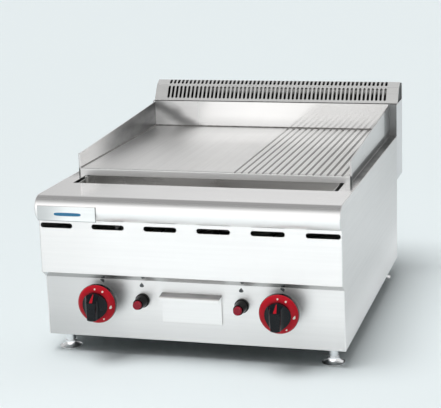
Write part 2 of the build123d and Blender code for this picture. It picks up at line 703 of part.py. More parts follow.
with BuildPart() as gas_manifold:
    pipe_route = (
        (MANIFOLD_END_X, MANIFOLD_Y, INLET_Z),
        (INLET_X, MANIFOLD_Y, INLET_Z),
        (INLET_X, PIPE_BACK, INLET_Z),
    )
    tube_along(pipe_route, PIPE_BEND, PIPE_R, PIPE_BORE)
    with BuildSketch(Plane.YZ.offset(MANIFOLD_END_X)):
        with Locations((behind(MANIFOLD_Y), INLET_Z)):
            Circle(PIPE_R)
    extrude(amount=-2 * SHEET)
save(gas_manifold, "gas_manifold")

with BuildPart() as gas_inlet_nipple:
    rod_back(INLET_X, INLET_Z, COUPLING_R, COUPLING_Y)
    rod_back(INLET_X, INLET_Z, INLET_SHANK_R, (COUPLING_Y[1], INLET_Y[0]))
    rod_back(INLET_X, INLET_Z, INLET_R, INLET_Y)
    rod_back(INLET_X, INLET_Z, PIPE_R, (COUPLING_Y[0] - TOUCH, PIPE_BACK), Mode.SUBTRACT)
    rod_back(INLET_X, INLET_Z, INLET_BORE, (PIPE_BACK - TOUCH, INLET_Y[1] + TOUCH), Mode.SUBTRACT)
save(gas_inlet_nipple, "gas_inlet_nipple")

STEM_R = 4.0
STEM_FIT = 0.05  # running clearance on radius
STEM_Y = (-5.0, 46.0)
PLUG_Y = (30.0, 56.0)
PLUG_R = (9.0, 7.0)  # front and back of the taper
OUTLET_R = 8.0
OUTLET_END = 70.0
TUBE_R = 5.0
TUBE_BORE = 4.0
TUBE_BEND = 20.0
TUBE_RISE_Y = 112.0
INJECTOR_Y = (186.0, 197.0)
INJECTOR_R = 7.0
INJECTOR_TIP_R = 4.0
INJECTOR_TIP = 203.0
ORIFICE_R = 0.9


def tapered(x, radii, y, mode=Mode.ADD):
    """A cone along Y at the control height, with its front and back radii."""
    with Locations((x, behind(y[0]), CONTROL_Z)):
        Cone(*radii, y[1] - y[0], rotation=(-90, 0, 0), align=FROM_END, mode=mode)


for side, sign in SIDES:
    x = sign * KNOB_X
    with BuildPart() as gas_cock:
        rod_back(x, CONTROL_Z, COCK_R, COCK_Y)
        rod_back(x, CONTROL_Z, OUTLET_R, (COCK_Y[1], OUTLET_END))
        rod_up(x, (COCK_Y[0] + COCK_Y[1]) / 2 + MANIFOLD_Y / 8, PIPE_BORE, (CONTROL_Z + COCK_R / 2, INLET_Z))
        with BuildSketch(Plane.YZ.offset(x - COCK_R)):
            with Locations((behind(MANIFOLD_Y), INLET_Z)):
                Circle(PIPE_R)
        extrude(amount=2 * COCK_R, mode=Mode.SUBTRACT)
        rod_back(x, CONTROL_Z, STEM_R + STEM_FIT, (COCK_Y[0] - TOUCH, PLUG_Y[0]), Mode.SUBTRACT)
        tapered(x, [r + STEM_FIT for r in PLUG_R], (PLUG_Y[0] - STEM_FIT, PLUG_Y[1] + STEM_FIT), Mode.SUBTRACT)
        rod_back(x, CONTROL_Z, TUBE_BORE, (COCK_Y[1], OUTLET_END + TOUCH), Mode.SUBTRACT)
    save(gas_cock, f"gas_cock_{side}")

    with BuildPart() as cock_plug:
        tapered(x, PLUG_R, PLUG_Y)
        rod_back(x, CONTROL_Z, STEM_R + STEM_FIT, (PLUG_Y[0] - TOUCH, PLUG_Y[1] + TOUCH), Mode.SUBTRACT)
    save(cock_plug, f"cock_plug_{side}")

SPRING_WIRE = 0.8
SPRING_R = 2.9
SPRING_TURNS = 5
SPRING_Y = (STEM_Y[1] + 0.6, PLUG_Y[1] - 0.6)

for side, sign in SIDES:
    with BuildPart() as cock_spring:
        coil_length = SPRING_Y[1] - SPRING_Y[0]
        spring_start = (sign * KNOB_X, behind(SPRING_Y[0]), CONTROL_Z)
        with BuildLine() as coil:
            Helix(
                pitch=coil_length / SPRING_TURNS,
                height=coil_length,
                radius=SPRING_R,
                center=spring_start,
                direction=(0, 1, 0),
            )
        with BuildSketch(Plane(origin=coil.line @ 0, z_dir=coil.line % 0)):
            Circle(SPRING_WIRE / 2)
        sweep(path=coil.line, is_frenet=True)
    save(cock_spring, f"cock_spring_{side}")

with BuildPart() as supply_tubes:
    for _, sign in SIDES:
        x = sign * KNOB_X
        tube_route = (
            (x, OUTLET_END, CONTROL_Z),
            (x, TUBE_RISE_Y, CONTROL_Z),
            (x, TUBE_RISE_Y, BURNER_Z),
            (x, INJECTOR_Y[0], BURNER_Z),
        )
        tube_along(tube_route, TUBE_BEND, TUBE_R, TUBE_BORE)
save(supply_tubes, "supply_tubes")

with BuildPart() as injectors:
    for _, sign in SIDES:
        x = sign * BURNER_LEG_X[0]
        rod_back(x, BURNER_Z, INJECTOR_R, INJECTOR_Y)
        rod_back(x, BURNER_Z, INJECTOR_TIP_R, (INJECTOR_Y[1], INJECTOR_TIP))
        rod_back(x, BURNER_Z, ORIFICE_R, (INJECTOR_Y[0] - TOUCH, INJECTOR_TIP + TOUCH), Mode.SUBTRACT)
save(injectors, "injectors")

# ---------------------------------------------------------------- knobs
GRIP_R = 25.5
GRIP_Y = (-KNOB_REACH, -19.0)
GRIP_EDGE = 1.2
SCOOP_R = 24.0
SCOOP_X = 33.1  # finger scoops' centres, out from the knob's axis
SLOPE = ((-KNOB_REACH, 10.7), (-35.0, 24.5))  # the bar's sloping top, from its front to its back: Y and height
SKIRT_R = 38.5
SKIRT_Y = (-19.0, -9.0)
SKIRT_EDGE = 3.0
HUB_R = 12.0
HUB_END = 15.0
RING_R = 38.0
RING_RIM_Y = (-20.4, -19.0)
RING_DOME = ((33.4, -25.8), (GRIP_R, -28.0))  # radius and Y half-way up the domed face and at the grip
POINTER_REACH = (1.0, 21.0)  # along the slope, from its front edge
POINTER_HALF = (3.2, 0.7)  # half widths at those places
POINTER_PROUD = 0.5

for side, sign in SIDES:
    x = sign * KNOB_X
    slope_front, slope_back = ((behind(y), CONTROL_Z + z) for y, z in SLOPE)
    with BuildPart() as knob:
        rod_back(x, CONTROL_Z, GRIP_R, GRIP_Y)
        # Finger scoops on both sides of the pinch bar.
        with BuildSketch(Plane.XY.offset(CONTROL_Z - 2 * GRIP_R)):
            with Locations((x - SCOOP_X, behind(GRIP_Y[0])), (x + SCOOP_X, behind(GRIP_Y[0]))):
                Circle(SCOOP_R)
        extrude(amount=4 * GRIP_R, mode=Mode.SUBTRACT)
        bar_front = knob.faces().filter_by(Axis.Y).sort_by(Axis.Y)[0]
        fillet(bar_front.edges(), radius=GRIP_EDGE)
        # The bar's top slopes back to the rim.
        above = CONTROL_Z + 2 * GRIP_R
        with BuildSketch(Plane.YZ.offset(x - GRIP_R)):
            with BuildLine():
                Polyline(slope_front, slope_back, (slope_back[0], above), (slope_front[0], above), close=True)
            make_face()
        extrude(amount=2 * GRIP_R, mode=Mode.SUBTRACT)
        rod_back(x, CONTROL_Z, SKIRT_R, SKIRT_Y)
        fillet(knob.edges().filter_by(GeomType.CIRCLE).group_by(Axis.Y)[-1], radius=SKIRT_EDGE)
        rod_back(x, CONTROL_Z, HUB_R, (SKIRT_Y[1], HUB_END))
        rod_back(x, CONTROL_Z, STEM_R, (STEM_Y[0], HUB_END + TOUCH), Mode.SUBTRACT)
    save(knob, f"knob_{side}")

    with BuildPart() as dial_ring:
        with BuildSketch(Plane.XY.offset(CONTROL_Z)):
            with BuildLine():
                rim_front = (x + RING_R, behind(RING_RIM_Y[0]))
                dome_middle, dome_top = ((x + radius, behind(y)) for radius, y in RING_DOME)
                ThreePointArc(rim_front, dome_middle, dome_top)
                Polyline(
                    dome_top,
                    (x + GRIP_R, behind(RING_RIM_Y[1])),
                    (x + RING_R, behind(RING_RIM_Y[1])),
                    rim_front,
                )
            make_face()
        revolve(axis=axis_back(x, CONTROL_Z))
    save(dial_ring, f"dial_ring_{side}")

    with BuildPart() as pointer:
        run, rise = slope_back[0] - slope_front[0], slope_back[1] - slope_front[1]
        slope_plane = Plane(origin=(x, *slope_front), x_dir=(1, 0, 0), z_dir=(0, -rise, run))
        with BuildSketch(slope_plane):
            with BuildLine():
                Polyline(
                    (-POINTER_HALF[0], POINTER_REACH[0]),
                    (POINTER_HALF[0], POINTER_REACH[0]),
                    (POINTER_HALF[1], POINTER_REACH[1]),
                    (-POINTER_HALF[1], POINTER_REACH[1]),
                    close=True,
                )
            make_face()
        extrude(amount=POINTER_PROUD)
    save(pointer, f"pointer_{side}")

    with BuildPart() as knob_stem:
        rod_back(x, CONTROL_Z, STEM_R, STEM_Y)
        chamfer(knob_stem.edges(), length=0.5)
    save(knob_stem, f"knob_stem_{side}")

# ---------------------------------------------------------------- igniters
BUTTON_R = 8.0
BUTTON_FIT = 0.08
BUTTON_Y = (-19.0, 14.0)
BUTTON_DOME = 1.6
BEZEL_NUT_R = 14.0
BEZEL_NUT_Y = (14.0, PANEL_SETBACK)
BARREL_R = (10.0, 12.8)
BARREL_FRONT = -11.0
SHANK_R = 10.9
PIEZO_R = 10.5

with BuildPart() as igniter_bezels:
    for _, sign in SIDES:
        x = sign * BUTTON_X
        tapered(x, BARREL_R, (BARREL_FRONT, BEZEL_NUT_Y[0]))
        rod_back(x, CONTROL_Z, BEZEL_NUT_R, BEZEL_NUT_Y)
        rod_back(x, CONTROL_Z, SHANK_R, (PANEL_SETBACK, PIEZO_Y[0]))
        rod_back(x, CONTROL_Z, BUTTON_R + BUTTON_FIT, (BARREL_FRONT - TOUCH, PIEZO_Y[0] + TOUCH), Mode.SUBTRACT)
save(igniter_bezels, "igniter_bezels")

with BuildPart() as piezo_bodies:
    for _, sign in SIDES:
        rod_back(sign * BUTTON_X, CONTROL_Z, PIEZO_R, PIEZO_Y)
save(piezo_bodies, "piezo_bodies")

for side, sign in SIDES:
    with BuildPart() as igniter_button:
        rod_back(sign * BUTTON_X, CONTROL_Z, BUTTON_R, BUTTON_Y)
        fillet(igniter_button.faces().sort_by(Axis.Y)[0].edges(), radius=BUTTON_DOME)
    save(igniter_button, f"igniter_button_{side}")

# ---------------------------------------------------------------- levelling feet
FOOT_R = 22.5
FOOT_RIM = 2.6
FOOT_NECK_R = 12.0
FOOT_NECK_Z = 13.5
POST_R = 10.2
POST_Z = (15.0, BASE_Z - 0.1)
STUD_R = 5.0
STUD_TOP_Z = 74.0
NUT_R = 9.0
NUT_FIT = 0.06
NUT_THICK = 12.0

for end, y in zip(("front", "back"), FOOT_YS):
    for side, sign in SIDES:
        with BuildPart() as levelling_foot:
            foot_axis = Axis((sign * FOOT_X, behind(y), 0), (0, 0, 1))
            with BuildSketch(Plane(origin=foot_axis.position, x_dir=(1, 0, 0), z_dir=(0, -1, 0))):
                with BuildLine():
                    Polyline((0, 0), (FOOT_R, 0), (FOOT_R, FOOT_RIM))
                    ThreePointArc(
                        (FOOT_R, FOOT_RIM),
                        ((FOOT_R + FOOT_NECK_R) / 2 - 1.5, FOOT_NECK_Z / 2 - 1),
                        (FOOT_NECK_R, FOOT_NECK_Z),
                    )
                    Polyline(
                        (FOOT_NECK_R, FOOT_NECK_Z),
                        (FOOT_NECK_R, POST_Z[0]),
                        (POST_R, POST_Z[0]),
                        (POST_R, POST_Z[1]),
                        (STUD_R, POST_Z[1]),
                        (STUD_R, STUD_TOP_Z),
                        (0, STUD_TOP_Z),
                        (0, 0),
                    )
                make_face()
            revolve(axis=foot_axis)
        save(levelling_foot, f"levelling_foot_{end}_{side}")

with BuildPart() as foot_nuts:
    for y in FOOT_YS:
        for _, sign in SIDES:
            nut_z = (BASE_Z + SHEET, BASE_Z + SHEET + NUT_THICK)
            with BuildSketch(Plane.XY.offset(nut_z[0])):
                with Locations((sign * FOOT_X, behind(y))):
                    RegularPolygon(NUT_R, 6)
                    Circle(STUD_R + NUT_FIT, mode=Mode.SUBTRACT)
            extrude(amount=NUT_THICK)
save(foot_nuts, "foot_nuts")
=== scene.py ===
import bpy
import bmesh
import math
from mathutils import Matrix, Vector
from mathutils.bvhtree import BVHTree


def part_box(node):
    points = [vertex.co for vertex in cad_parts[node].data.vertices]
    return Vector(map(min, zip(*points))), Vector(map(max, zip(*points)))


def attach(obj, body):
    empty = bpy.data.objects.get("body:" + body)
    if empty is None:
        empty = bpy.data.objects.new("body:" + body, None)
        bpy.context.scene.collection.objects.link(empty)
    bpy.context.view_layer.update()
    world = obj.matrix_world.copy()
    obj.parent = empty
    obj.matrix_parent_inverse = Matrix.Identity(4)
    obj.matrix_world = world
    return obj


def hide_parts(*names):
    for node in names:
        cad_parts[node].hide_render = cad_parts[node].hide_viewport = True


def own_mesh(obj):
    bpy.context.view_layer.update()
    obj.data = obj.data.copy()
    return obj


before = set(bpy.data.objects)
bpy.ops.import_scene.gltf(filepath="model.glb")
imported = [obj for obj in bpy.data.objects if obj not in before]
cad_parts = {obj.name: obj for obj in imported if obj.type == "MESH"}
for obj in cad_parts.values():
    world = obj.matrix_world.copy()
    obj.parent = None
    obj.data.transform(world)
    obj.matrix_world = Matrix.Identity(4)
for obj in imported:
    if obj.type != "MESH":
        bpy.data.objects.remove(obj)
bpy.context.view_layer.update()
MM = 0.001


# ------------------------------------------------------------------ shader building
class Nodes:
    """Helpers that add nodes to one tree, starting from a coordinate output."""

    def __init__(self, tree):
        self.tree = tree
        self.tree.nodes.clear()
        self.place = None

    def node(self, kind, **settings):
        made = self.tree.nodes.new(kind)
        for key, value in settings.items():
            setattr(made, key, value)
        return made

    def feed(self, node, socket, value):
        """Links an output, or sets a constant."""
        if isinstance(value, bpy.types.NodeSocket):
            self.tree.links.new(value, node.inputs[socket])
        else:
            node.inputs[socket].default_value = value

    def spread(self, scale=(1, 1, 1), shift=(0, 0, 0)):
        """The coordinates, scaled: a large number makes a pattern finer along that axis."""
        mapping = self.node("ShaderNodeMapping")
        self.feed(mapping, "Vector", self.place)
        mapping.inputs["Scale"].default_value = scale
        mapping.inputs["Location"].default_value = shift
        return mapping.outputs[0]

    def noise(self, scale, detail=3.0, rough=0.55, stretch=(1, 1, 1), shift=(0, 0, 0)):
        made = self.node("ShaderNodeTexNoise")
        self.feed(made, "Vector", self.spread(stretch, shift))
        made.inputs["Scale"].default_value = scale
        made.inputs["Detail"].default_value = detail
        made.inputs["Roughness"].default_value = rough
        return made.outputs["Fac"]

    def remap(self, value, low, high, to_low=0.0, to_high=1.0):
        """Takes low to to_low and high to to_high, softly."""
        if low > high:
            low, high, to_low, to_high = high, low, to_high, to_low
        made = self.node("ShaderNodeMapRange", interpolation_type="SMOOTHSTEP")
        self.feed(made, "Value", value)
        limits = {"From Min": low, "From Max": high, "To Min": to_low, "To Max": to_high}
        for socket, number in limits.items():
            made.inputs[socket].default_value = number
        return made.outputs[0]

    def calc(self, operation, first, second=0.0):
        made = self.node("ShaderNodeMath", operation=operation)
        self.feed(made, 0, first)
        self.feed(made, 1, second)
        return made.outputs[0]

    def times(self, first, *others):
        for other in others:
            first = self.calc("MULTIPLY", first, other)
        return first

    def mix(self, amount, first, second):
        """First where amount is 0, second where it is 1, for plain numbers."""
        made = self.node("ShaderNodeMix", data_type="FLOAT")
        for socket, value in ((0, amount), (2, first), (3, second)):
            self.feed(made, socket, value)
        return made.outputs[0]

    def axis(self, name):
        made = self.node("ShaderNodeSeparateXYZ")
        self.feed(made, 0, self.place)
        return made.outputs[name.upper()]

    def band(self, name, start, end, soft):
        """1 between two places along an axis, fading over soft on both sides."""
        along = self.axis(name)
        return self.times(
            self.remap(along, start - soft, start + soft),
            self.remap(along, end + soft, end - soft),
        )


class Look(Nodes):
    """One node material: a Principled shader whose colour, roughness and normal are built up in layers."""

    def __init__(self, name, color, rough, metallic=0.0, **fixed):
        self.mat = bpy.data.materials.new(name)
        self.mat.use_nodes = True
        super().__init__(self.mat.node_tree)
        out = self.node("ShaderNodeOutputMaterial")
        self.bsdf = self.node("ShaderNodeBsdfPrincipled")
        self.tree.links.new(self.bsdf.outputs[0], out.inputs["Surface"])
        self.bsdf.inputs["Base Color"].default_value = (*color, 1)
        self.bsdf.inputs["Roughness"].default_value = rough
        self.bsdf.inputs["Metallic"].default_value = metallic
        for socket, value in fixed.items():
            self.bsdf.inputs[socket.replace("_", " ")].default_value = value
        self.color_now = None
        self.rough_now = None
        self.normal_now = None
        self.place = self.node("ShaderNodeTexCoord").outputs["Object"]

    def tint(self, amount, color):
        """Blends a colour over the base colour by an amount from 0 to 1."""
        made = self.node("ShaderNodeMix", data_type="RGBA")
        self.feed(made, 0, amount)
        self.feed(made, 6, self.color_now or tuple(self.bsdf.inputs["Base Color"].default_value))
        self.feed(made, 7, (*color, 1))
        self.color_now = made.outputs[2]
        self.tree.links.new(self.color_now, self.bsdf.inputs["Base Color"])
        return self

    def roughen(self, amount, by):
        """Adds amount times by to the roughness."""
        base = self.rough_now or self.bsdf.inputs["Roughness"].default_value
        self.rough_now = self.calc("ADD", base, self.times(amount, by))
        self.tree.links.new(self.rough_now, self.bsdf.inputs["Roughness"])
        return self

    def fade_metal(self, amount, to):
        """Takes the metallic share to another value where amount is 1, as for ground metal."""
        self.feed(self.bsdf, "Metallic", self.mix(amount, self.bsdf.inputs["Metallic"].default_value, to))
        return self

    def bump(self, height, distance, strength=1.0):
        made = self.node("ShaderNodeBump")
        self.feed(made, "Height", height)
        made.inputs["Distance"].default_value = distance
        made.inputs["Strength"].default_value = strength
        if self.normal_now:
            self.feed(made, "Normal", self.normal_now)
        self.normal_now = made.outputs[0]
        self.tree.links.new(self.normal_now, self.bsdf.inputs["Normal"])
        return self

    def soften(self, radius, wear, color):
        """Rounds the shading at sharp edges, and rubs them towards a colour."""
        bevel = self.node("ShaderNodeBevel", samples=4)
        bevel.inputs["Radius"].default_value = radius
        self.normal_now = bevel.outputs[0]
        self.tree.links.new(self.normal_now, self.bsdf.inputs["Normal"])
        turn = self.node("ShaderNodeVectorMath", operation="DOT_PRODUCT")
        self.feed(turn, 0, bevel.outputs[0])
        self.feed(turn, 1, self.node("ShaderNodeNewGeometry").outputs["True Normal"])
        rubbed = self.remap(turn.outputs["Value"], 0.985, 0.8)
        patchy = self.remap(self.noise(60, 3, 0.6), 0.3, 0.7, 0.4, 1.0)
        return self.tint(self.times(rubbed, patchy, wear), color)


GRAIN_ALONG = {"x": (0.02, 1, 1), "y": (1, 0.02, 1), "z": (1, 1, 0.02)}
BRIGHT_EDGE = (0.95, 0.95, 0.95)
EDGE_RADIUS = 0.9 * MM


def steel(name, color, rough=0.25, grain="x", streak=0.08, smear=0.06, depth=0.5, metal=1.0):
    """Brushed stainless: scratches along one axis, faint streaks, wiped-on smears and bright rubbed edges."""
    look = Look(name, color, rough, metal)
    stretch = GRAIN_ALONG[grain]
    scratch = look.noise(1500, 4, 0.6, stretch)
    streaks = look.noise(160, 3, 0.6, stretch, (0.3, 0.7, 0.1))
    smears = look.noise(7, 3, 0.5, shift=(1.7, 0.4, 2.2))
    look.soften(EDGE_RADIUS, 0.5, BRIGHT_EDGE)
    look.tint(look.remap(streaks, 0.35, 0.65, 0.0, streak), (0.25, 0.25, 0.26))
    look.roughen(look.calc("SUBTRACT", smears, 0.5), smear * 2)
    look.roughen(look.calc("SUBTRACT", scratch, 0.5), 0.1)
    look.bump(scratch, 0.00002, depth)
    return look


PALER_BY = 0.015


def plastic(name, color, rough=0.15, sheen=0.4, **fixed):
    """Glossy moulded plastic with a faint orange peel, rubbed patches and paler rubbed edges."""
    look = Look(name, color, rough, Specular_IOR_Level=sheen, **fixed)
    paler = tuple(0.85 * c + PALER_BY for c in color)
    look.soften(0.5 * MM, 0.35, paler)
    look.tint(look.remap(look.noise(25, 4, 0.6), 0.45, 0.75, 0.0, 0.25), paler)
    look.bump(look.noise(450, 2, 0.5), 0.0001, 0.12)
    look.roughen(look.remap(look.noise(30, 3, 0.6, shift=(3, 1, 2)), 0.45, 0.75), 0.12)
    return look


# ------------------------------------------------------------------ places, from the frame
PLATE_LOW, PLATE_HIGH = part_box("griddle_plate")
FASCIA_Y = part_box("front_fascia")[0].y
BACK_LOW, BACK_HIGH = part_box("backsplash")
GUARD_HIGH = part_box("splash_guard_right")[1]
DUCT_LOW, DUCT_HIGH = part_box("flue_duct")
BADGE_LOW, BADGE_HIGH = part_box("nameplate")
DECK_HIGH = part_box("top_deck")[1]
PANEL_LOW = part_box("control_panel")[0]
DRAWER_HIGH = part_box("drawer_front")[1]
HOOD_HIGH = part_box("flue_hood")[1]
DEFLECTOR_LOW, DEFLECTOR_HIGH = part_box("flue_deflector")

# ------------------------------------------------------------------ looks of the steel parts
SOOT_AND_SHADE = (0.03, 0.028, 0.026)
GREASE = (0.30, 0.285, 0.265)


def fascia_look():
    """Front sheet, near white, with painted shade towards its left end and on the strip where its lower edge
    turns back to the panel.
    """
    look = steel("fascia_steel", (0.96, 0.935, 0.925), 0.42, "x", 0.03)
    # Painted shade, darker towards the left end.
    look.tint(look.remap(look.axis("x"), -120 * MM, -290 * MM, 0, 0.14), (0.48, 0.47, 0.465))
    # Painted shade on the turned-back strip, which is also made smoother.
    turned = look.remap(look.axis("y"), FASCIA_Y + 0.6 * MM, FASCIA_Y + 2 * MM)
    look.tint(look.times(turned, 0.8), (0.48, 0.48, 0.48))
    return look.roughen(turned, -0.27)


def drawer_look():
    """Drawer front: bright, with the top of its pull lip shaded towards the panel."""
    look = steel("drawer_steel", (0.95, 0.93, 0.92), 0.36, "x", 0.03)
    on_top = look.remap(look.axis("z"), DRAWER_HIGH.z - 4.2 * MM, DRAWER_HIGH.z - 2.4 * MM)
    patchy = look.remap(look.noise(15, 2, 0.5), 0.3, 0.7, 0.75, 0.95)
    return look.tint(look.times(on_top, patchy), (0.12, 0.125, 0.13))


def panel_look():
    """Control panel: satin, with painted shade at its left and lower edges."""
    look = steel("panel_steel", (0.95, 0.93, 0.92), 0.4, "x", 0.03, metal=0.85)
    left = look.remap(look.axis("x"), -100 * MM, PANEL_LOW.x)
    low = look.remap(look.axis("z"), PANEL_LOW.z + 85 * MM, PANEL_LOW.z)
    # Painted shade towards the left and lower edges.
    look.tint(look.times(left, 0.5), (0.45, 0.45, 0.45))
    return look.tint(look.times(low, 0.3), (0.45, 0.45, 0.45))


def side_look():
    """Side and rear sheets: satin, darker towards the top alongside the plate, with painted light brightening
    them near the floor.
    """
    look = steel("side_steel", (0.79, 0.775, 0.77), 0.4, "y", 0.05, metal=0.75)
    look.tint(look.remap(look.noise(3.5, 2, 0.5), 0.35, 0.7, 0.0, 0.12), (0.55, 0.55, 0.56))
    upper = look.times(
        look.remap(look.axis("z"), DECK_HIGH.z - 200 * MM, DECK_HIGH.z - 20 * MM),
        look.remap(look.axis("y"), PLATE_LOW.y, PLATE_HIGH.y),
    )
    look.tint(look.times(upper, 0.4), (0.4, 0.4, 0.4))
    # Painted light: brighter near the floor.
    return look.tint(look.remap(look.axis("z"), 150 * MM, 45 * MM), (1.0, 0.98, 0.975))


def deck_look():
    """The pressed deck: near-mirror on top, satin on its nose, with painted shade on the strips beside the
    splash guards.
    """
    look = steel("deck_steel", (0.90, 0.895, 0.89), 0.14, "x", 0.04, 0.03, 0.25)
    beside = look.remap(look.calc("ABSOLUTE", look.axis("x")), GUARD_HIGH.x - 2 * MM, GUARD_HIGH.x)
    behind = look.remap(look.axis("y"), PLATE_LOW.y - 40 * MM, PLATE_LOW.y + 60 * MM)
    # Painted shade on the strips beside the guards, also made rougher.
    painted_shade = look.times(beside, behind, look.remap(look.noise(14, 3, 0.6), 0.25, 0.75, 0.8, 1.0))
    look.tint(painted_shade, (0.075, 0.08, 0.08))
    look.roughen(painted_shade, 0.2)
    look.tint(look.remap(look.axis("z"), DECK_HIGH.z - 10 * MM, DECK_HIGH.z - 20 * MM), (1.0, 0.975, 0.965))
    return look.roughen(look.remap(look.axis("z"), DECK_HIGH.z - 1 * MM, DECK_HIGH.z - 10 * MM), 0.26)


def guard_look():
    """Polished splash guards with painted shade: inside darker towards the rear, outside darker overall,
    along its foot and at its back end.
    """
    look = steel("guard_steel", (1.0, 0.995, 0.99), 0.3, "y", 0.04, 0.05)
    away = look.calc("ABSOLUTE", look.axis("x"))
    inside = look.remap(away, PLATE_HIGH.x + 1 * MM, PLATE_HIGH.x + 0.5 * MM)
    rear = look.remap(look.axis("y"), PLATE_LOW.y + 50 * MM, PLATE_LOW.y + 230 * MM)
    # Painted shade: the inside darkens towards the rear, in patches.
    shade_patches = look.remap(look.noise(9, 4, 0.6, (1, 0.5, 1.6)), 0.3, 0.7, 0.7, 0.95)
    look.tint(look.times(rear, inside, shade_patches), (0.13, 0.135, 0.14))
    # Painted shade, deepest at the rear of the inside.
    rearmost = look.remap(look.axis("y"), PLATE_LOW.y + 320 * MM, PLATE_LOW.y + 480 * MM)
    look.tint(look.times(rearmost, inside, 0.2), (0.05, 0.05, 0.05))
    outside = look.calc("SUBTRACT", 1.0, inside)
    # Painted shade over the whole outside face.
    look.tint(look.times(outside, 0.65), (0.42, 0.40, 0.395))
    # Painted shade along the foot of the outside face.
    foot = look.remap(look.axis("z"), DECK_HIGH.z + 17 * MM, DECK_HIGH.z + 12 * MM)
    look.tint(look.times(outside, foot, 0.98), (0.06, 0.065, 0.065))
    # Painted shade at the back end of the outside face.
    last = look.remap(look.axis("y"), BACK_LOW.y - 80 * MM, BACK_LOW.y - 60 * MM)
    return look.tint(look.times(outside, last, 0.8), (0.20, 0.20, 0.20))


BACK_SHADE_X = -140 * MM


def back_look():
    """The backsplash: mirror-like, duller left of a wiped line, with a darker slanted patch near its left end
    and painted shade towards its right end.
    """
    look = steel("backsplash_steel", (0.93, 0.925, 0.92), 0.13, "x", 0.02, 0.04)
    unwiped = look.times(
        look.remap(look.axis("x"), BACK_SHADE_X + 2 * MM, BACK_SHADE_X - 1 * MM),
        look.remap(look.axis("x"), BACK_SHADE_X, BACK_LOW.x + 60 * MM, 0.45, 1.0),
        look.remap(look.axis("x"), BACK_LOW.x + 20 * MM, BACK_LOW.x + 60 * MM),
    )
    look.roughen(look.remap(look.axis("x"), BACK_SHADE_X, BACK_LOW.x + 60 * MM), 0.4)
    cloud = look.noise(16, 3, 0.6, (0.6, 1, 1))
    across = look.calc("ADD", look.axis("x"), look.times(look.calc("SUBTRACT", cloud, 0.5), 0.06))
    slant = look.calc("ADD", across, look.times(look.axis("z"), 1.6))
    middle = BACK_LOW.x + 58 * MM + 1.6 * (PLATE_HIGH.z + 20 * MM)
    patch = look.times(
        look.remap(slant, middle - 40 * MM, middle),
        look.remap(slant, middle + 45 * MM, middle + 5 * MM),
    )
    look.tint(look.times(patch, 0.75), (0.15, 0.15, 0.15))
    # Painted shade towards the right end.
    look.tint(look.remap(look.axis("x"), -60 * MM, BACK_HIGH.x, 0, 0.35), (0.55, 0.55, 0.55))
    look.tint(look.remap(look.axis("z"), PLATE_HIGH.z + 5 * MM, PLATE_HIGH.z, 0, 0.55), (0.25, 0.24, 0.22))
    return look


def plate_look():
    """The ground cooking plate: scour marks along its depth, a faint seasoning, greasy grooves, and painted
    shade towards its left rear and its rear.
    """
    look = steel("plate_steel", (0.98, 0.975, 0.965), 0.36, "y", 0.06, 0.05, 0.8)
    clouds = look.noise(5, 5, 0.6, (1, 0.7, 1), (0.2, 1.3, 0))
    look.tint(look.remap(clouds, 0.42, 0.72, 0.0, 0.12), (0.46, 0.44, 0.40))
    # Painted shade towards the left rear.
    left_rear = look.times(
        look.remap(look.axis("x"), PLATE_LOW.x + 260 * MM, PLATE_LOW.x),
        look.remap(look.axis("y"), PLATE_LOW.y + 50 * MM, PLATE_HIGH.y, 0.45, 1.0),
    )
    look.tint(look.times(left_rear, 0.38), (0.35, 0.35, 0.35))
    sunk = look.remap(look.axis("z"), PLATE_HIGH.z - 0.2 * MM, PLATE_HIGH.z - 1.6 * MM)
    on_top = look.band("y", PLATE_LOW.y + 3 * MM, PLATE_HIGH.y, MM)
    look.tint(look.times(sunk, on_top, 0.85), (0.16, 0.155, 0.145))
    # Painted shade towards the rear.
    rear_shade = look.remap(look.axis("y"), PLATE_HIGH.y - 170 * MM, PLATE_HIGH.y - 20 * MM, 0, 0.55)
    look.tint(rear_shade, (0.5, 0.5, 0.495))
    scour = look.noise(420, 3, 0.7, (1, 0.05, 1), (4, 0, 1))
    look.tint(look.remap(scour, 0.55, 0.75, 0.0, 0.12), (0.95, 0.95, 0.95))
    ground_edge = look.remap(look.axis("y"), PLATE_LOW.y + 1.5 * MM, PLATE_LOW.y + 0.5 * MM)
    look.tint(ground_edge, (1.0, 1.0, 0.99))
    return look.fade_metal(ground_edge, 0.32)


def duct_look():
    """Flue sheet, bright outside and sooty inside."""
    look = steel("duct_steel", (0.67, 0.66, 0.67), 0.34, "z", 0.05)
    skin = 0.8 * MM
    inside = look.times(
        look.band("x", DUCT_LOW.x + skin, DUCT_HIGH.x - skin, 0.2 * MM),
        look.band("y", DUCT_LOW.y - 1, DUCT_HIGH.y - skin, 0.2 * MM),
        look.band("z", DUCT_LOW.z + skin, 1, 0.2 * MM),
    )
    look.tint(inside, SOOT_AND_SHADE)
    look.roughen(inside, 0.4)
    return look


def flue_panel_look():
    """The sheet behind the backsplash: painted shade at its right end, sooty on its flue side."""
    look = steel("flue_panel_steel", (0.70, 0.70, 0.70), 0.3, "z", 0.05)
    # Painted shade at the right end, between the plate and the guard.
    look.tint(look.remap(look.axis("x"), PLATE_HIGH.x, GUARD_HIGH.x, 0, 0.8), (0.22, 0.22, 0.22))
    inside = look.remap(look.axis("y"), DUCT_LOW.y + 0.4 * MM, DUCT_LOW.y + 0.8 * MM)
    return look.tint(inside, SOOT_AND_SHADE)


